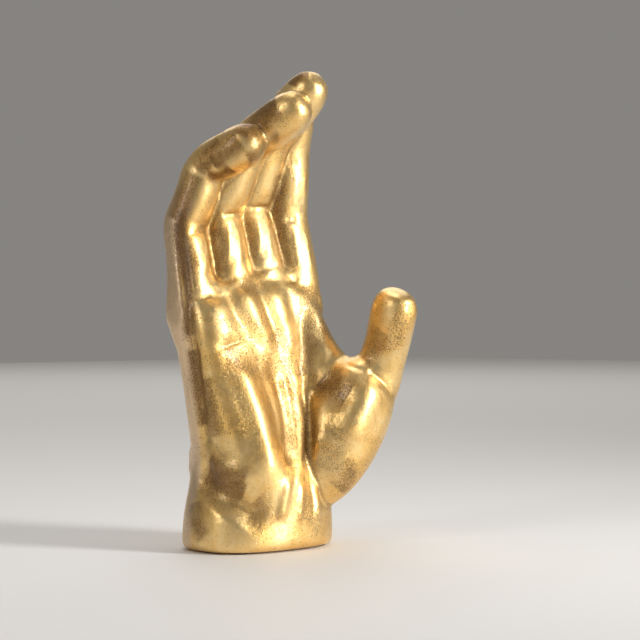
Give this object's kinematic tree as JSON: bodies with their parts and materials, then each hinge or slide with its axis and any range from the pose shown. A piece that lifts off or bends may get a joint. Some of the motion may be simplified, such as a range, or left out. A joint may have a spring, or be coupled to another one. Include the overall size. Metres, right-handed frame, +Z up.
{
  "type": "ceramic hand sculpture",
  "caption": "Freestanding right hand in gilded ceramic, larger than life, rising from its wrist with the palm open, the thumb set apart and the fingers curling forward.",
  "frame": {"origin": "centre of the foot, on the surface that the felt pads rest on", "axes": "+Z up; the palm faces -Y; the thumb is on the +X side and the little finger on the -X side"},
  "size_m": [0.2022, 0.1541, 0.4277],
  "materials": {
    "gilded_ceramic": "gold leaf over fired ceramic, worn to a dark speckle in the hollows",
    "bung_rubber": "matt",
    "pad_felt": "felt"
  },
  "bodies": {
    "root": {"hand_shell": "gilded_ceramic", "drain_bung": "bung_rubber", "felt_pad_front_left": "pad_felt", "felt_pad_front_right": "pad_felt", "felt_pad_rear_left": "pad_felt", "felt_pad_rear_right": "pad_felt"}
  },
  "joints": []
}
